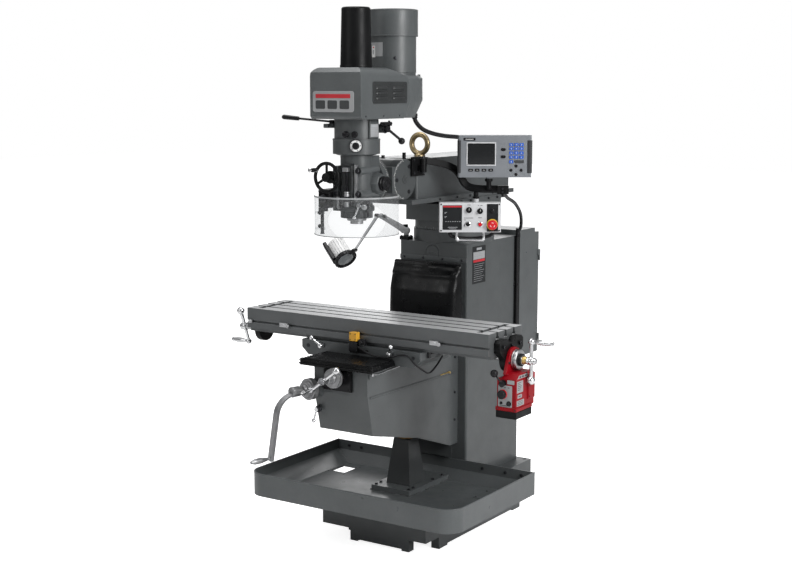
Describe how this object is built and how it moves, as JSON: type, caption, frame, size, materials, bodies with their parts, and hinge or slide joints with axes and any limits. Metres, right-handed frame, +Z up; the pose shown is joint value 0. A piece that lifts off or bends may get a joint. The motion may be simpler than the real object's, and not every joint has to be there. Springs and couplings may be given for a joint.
{
  "type": "vertical milling machine",
  "caption": "Knee-type vertical milling machine with a swivelling turret, sliding ram, tilting head, feeding quill, T-slot table with hand cranks and power feed, readout, lamp and chip pan",
  "frame": {"origin": "on the floor, on the machine's centre plane, in line with the column's front face", "axes": "+X to the operator's right, +Y to the back, +Z up; the machine's front faces -Y"},
  "size_m": [1.864, 1.8785, 2.572],
  "materials": {
    "machine_grey": "smooth semi-gloss machine enamel",
    "pan_grey": "smooth semi-gloss enamel on welded sheet",
    "cover_grey": "smooth semi-gloss enamel",
    "motor_grey": "fine textured enamel",
    "black_paint": "satin black",
    "red_paint": "gloss",
    "black_oxide": "blackened steel, satin",
    "ground_steel": "fine ground",
    "ground_iron": "ground and scraped",
    "bright_steel": "polished",
    "zinc_yellow": "yellow zinc plate",
    "bronze": "cast and turned",
    "rubber_cover": "smooth, slightly glossy sheet rubber",
    "cable_black": "smooth jacket",
    "console_grey": "fine grain",
    "panel_silver": "satin silver",
    "knob_black": "moulded",
    "button_red": "moulded",
    "dial_white": "satin white with engraved marks",
    "lamp_white": "satin white",
    "clear_guard": "clear moulded sheet"
  },
  "bodies": {
    "stand": {"base_casting": "machine_grey", "chip_pan": "pan_grey", "drain_cover": "pan_grey", "column_casting": "machine_grey", "electrical_cabinet": "cover_grey", "screw_pedestal": "machine_grey", "elevating_nut": "bronze", "way_cover_strip": "cover_grey", "column_way_cover": "rubber_cover", "column_conduit": "cable_black", "lamp_base": "black_paint"},
    "door": {"cabinet_door": "cover_grey"},
    "lamp_lower": {"lamp_lower_arm": "black_oxide"},
    "lamp_upper": {"lamp_upper_arm": "ground_steel"},
    "lamp": {"lamp_head": "lamp_white"},
    "turret": {"turret": "machine_grey"},
    "pinion": {"ram_pinion": "ground_steel"},
    "ram": {"ram": "machine_grey", "eyebolt": "zinc_yellow", "arm_bracket": "black_paint"},
    "arm": {"support_arm": "black_paint"},
    "console": {"readout_console": "console_grey"},
    "controls": {"control_box": "panel_silver"},
    "knob": {"speed_knob": "knob_black"},
    "stop_button": {"emergency_stop": "button_red"},
    "adapter": {"ram_adapter": "machine_grey"},
    "head": {"head_casting": "machine_grey", "belt_cover": "cover_grey", "drawbar_cover": "black_paint", "motor": "motor_grey", "feed_gearbox": "black_paint", "guard_post": "black_oxide"},
    "brake": {"brake_lever": "knob_black"},
    "range": {"range_lever": "bright_steel"},
    "dial": {"feed_dial": "dial_white"},
    "feed_wheel": {"fine_feed_wheel": "black_paint"},
    "quill_lock": {"quill_lock_lever": "bright_steel"},
    "quill": {"quill": "ground_steel"},
    "spindle": {"spindle": "ground_steel"},
    "feed_hub": {"quill_feed_hub": "black_oxide"},
    "guard": {"spindle_guard": "clear_guard"},
    "knee": {"knee_casting": "machine_grey", "bearing_plate": "black_paint", "front_way_cover": "rubber_cover"},
    "lift_screw": {"elevating_screw": "ground_steel"},
    "crank": {"knee_crank": "ground_steel"},
    "cross_feed": {"cross_feed_screw": "ground_steel", "cross_feed_crank": "bright_steel"},
    "knee_lock": {"knee_lock_lever": "bright_steel"},
    "saddle": {"saddle": "machine_grey", "limit_switch": "black_paint"},
    "lock_left": {"saddle_lock_left": "bright_steel"},
    "lock_right": {"saddle_lock_right": "bright_steel"},
    "table": {"table": "ground_iron", "table_stops": "ground_steel", "table_brackets": "black_paint", "power_feed": "red_paint"},
    "leadscrew": {"table_leadscrew": "ground_steel", "table_cranks": "bright_steel"},
    "feed_lever": {"power_feed_lever": "knob_black"}
  },
  "joints": [
    {"name": "knee_slide", "type": "slide", "parent": "stand", "child": "knee", "axis": [0, 0, 1], "range_m": [-0.025, 0.38], "deforming": ["column_way_cover"]},
    {"name": "saddle_slide", "type": "slide", "parent": "knee", "child": "saddle", "axis": [0, -1, 0], "range_m": [-0.2, 0.1], "deforming": ["front_way_cover"]},
    {"name": "table_slide", "type": "slide", "parent": "saddle", "child": "table", "axis": [1, 0, 0], "range_m": [-0.33, 0.33]},
    {"name": "turret_swivel", "type": "hinge", "parent": "stand", "child": "turret", "pos_m": [0, 0.2, 1.5], "axis": [0, 0, -1], "range_deg": [-45, 45]},
    {"name": "ram_slide", "type": "slide", "parent": "turret", "child": "ram", "axis": [0, -1, 0], "range_m": [-0.28, 0.05]},
    {"name": "adapter_nod", "type": "hinge", "parent": "ram", "child": "adapter", "pos_m": [0, -0.445, 1.788], "axis": [-1, 0, 0], "range_deg": [-30, 10]},
    {"name": "head_tilt", "type": "hinge", "parent": "adapter", "child": "head", "pos_m": [0, -0.56, 1.788], "axis": [0, 1, 0], "range_deg": [-35, 35]},
    {"name": "quill_slide", "type": "slide", "parent": "head", "child": "quill", "axis": [0, 0, 1], "range_m": [-0.127, 0]},
    {"name": "spindle_spin", "type": "hinge", "parent": "quill", "child": "spindle", "pos_m": [0, -0.665, 1.6], "axis": [0, 0, 1], "continuous": true},
    {"name": "fine_feed_turn", "type": "hinge", "parent": "head", "child": "feed_wheel", "pos_m": [-0.066, -0.806, 1.81], "axis": [0, -1, 0], "continuous": true},
    {"name": "brake_turn", "type": "hinge", "parent": "head", "child": "brake", "pos_m": [-0.108, -0.705, 2.058], "axis": [0, 0, 1], "range_deg": [-25, 25]},
    {"name": "range_turn", "type": "hinge", "parent": "head", "child": "range", "pos_m": [0.12, -0.6, 2.028], "axis": [1, 0, 0], "range_deg": [-30, 30]},
    {"name": "feed_dial_turn", "type": "hinge", "parent": "head", "child": "dial", "pos_m": [0, -0.665, 1.953], "axis": [0.5534, -0.8329, 0], "range_deg": [-120, 120]},
    {"name": "quill_lock_turn", "type": "hinge", "parent": "head", "child": "quill_lock", "pos_m": [0.061, -0.73, 1.682], "axis": [0, 1, 0], "range_deg": [-40, 40]},
    {"name": "guard_swing", "type": "hinge", "parent": "head", "child": "guard", "pos_m": [-0.128, -0.758, 1.6], "axis": [0, 0, -1], "range_deg": [0, 65]},
    {"name": "arm_swing", "type": "hinge", "parent": "ram", "child": "arm", "pos_m": [0.158, -0.345, 1.875], "axis": [0, 0, 1], "range_deg": [-30, 12]},
    {"name": "console_swivel", "type": "hinge", "parent": "arm", "child": "console", "pos_m": [0.395, -0.137, 1.79], "axis": [0, 0, 1], "range_deg": [0, 20]},
    {"name": "control_swivel", "type": "hinge", "parent": "arm", "child": "controls", "pos_m": [0.3295, -0.1434, 1.69], "axis": [0, 0, 1], "range_deg": [-20, 20]},
    {"name": "speed_knob_turn", "type": "hinge", "parent": "controls", "child": "knob", "pos_m": [0.326, -0.20331, 1.637], "axis": [0.5519, -0.8339, 0], "range_deg": [-150, 150]},
    {"name": "stop_press", "type": "slide", "parent": "controls", "child": "stop_button", "axis": [-0.5519, 0.8339, 0], "range_m": [0, 0.006]},
    {"name": "door_swing", "type": "hinge", "parent": "stand", "child": "door", "pos_m": [0.206, 0.752, 1.12], "axis": [0, 0, -1], "range_deg": [0, 110]},
    {"name": "lamp_swivel", "type": "hinge", "parent": "stand", "child": "lamp_lower", "pos_m": [-0.18, 0.028, 1.47], "axis": [0, 0, -1], "range_deg": [-30, 30]},
    {"name": "lamp_elbow", "type": "hinge", "parent": "lamp_lower", "child": "lamp_upper", "pos_m": [-0.28, -0.051, 1.566], "axis": [-0.9881, 0.154, 0], "range_deg": [-20, 20]},
    {"name": "lamp_nod", "type": "hinge", "parent": "lamp_upper", "child": "lamp", "pos_m": [-0.31, -0.244, 1.408], "axis": [-0.2519, 0.9677, 0], "range_deg": [-25, 25]},
    {"name": "knee_lock_turn", "type": "hinge", "parent": "knee", "child": "knee_lock", "pos_m": [-0.133, -0.8, 0.728], "axis": [0, 1, 0], "range_deg": [-40, 40]},
    {"name": "saddle_lock_left_turn", "type": "hinge", "parent": "saddle", "child": "lock_left", "pos_m": [-0.213, -0.66, 1], "axis": [0, 1, 0], "range_deg": [-35, 35]},
    {"name": "saddle_lock_right_turn", "type": "hinge", "parent": "saddle", "child": "lock_right", "pos_m": [0.177, -0.66, 1], "axis": [0, 1, 0], "range_deg": [-35, 35]},
    {"name": "feed_lever_turn", "type": "hinge", "parent": "table", "child": "feed_lever", "pos_m": [0.728, -0.58, 0.912], "axis": [0, 1, 0], "range_deg": [-20, 20]},
    {"name": "lift_screw_turn", "type": "hinge", "parent": "knee", "child": "lift_screw", "pos_m": [0, -0.25, 0.8], "axis": [0, 0, 1], "range_deg": [-1773, 26931]},
    {"name": "knee_crank_turn", "type": "hinge", "parent": "knee", "child": "crank", "pos_m": [0, -0.25, 0.829], "axis": [-0.2441, -0.9698, 0], "range_deg": [-3545, 53860]},
    {"name": "cross_feed_turn", "type": "hinge", "parent": "knee", "child": "cross_feed", "pos_m": [0, -0.9, 0.9], "axis": [0, 1, 0], "range_deg": [-14175, 7088]},
    {"name": "leadscrew_turn", "type": "hinge", "parent": "table", "child": "leadscrew", "pos_m": [0, -0.482, 1.008], "axis": [1, 0, 0], "range_deg": [-23387, 23387]},
    {"name": "feed_hub_turn", "type": "hinge", "parent": "head", "child": "feed_hub", "pos_m": [0.1, -0.612, 1.778], "axis": [1, 0, 0], "range_deg": [-729, 1]},
    {"name": "pinion_turn", "type": "hinge", "parent": "turret", "child": "pinion", "pos_m": [0, 0.15, 1.627], "axis": [1, 0, 0], "range_deg": [-1236, 222]}
  ],
  "couplings": [
    {"joint": "lift_screw_turn", "follows": "knee_slide", "rad_per_m": 1236.8},
    {"joint": "knee_crank_turn", "follows": "knee_slide", "rad_per_m": 2473.7},
    {"joint": "cross_feed_turn", "follows": "saddle_slide", "rad_per_m": 1236.8},
    {"joint": "leadscrew_turn", "follows": "table_slide", "rad_per_m": 1236.8},
    {"joint": "feed_hub_turn", "follows": "quill_slide", "rad_per_m": 100},
    {"joint": "pinion_turn", "follows": "ram_slide", "rad_per_m": 76.923}
  ]
}
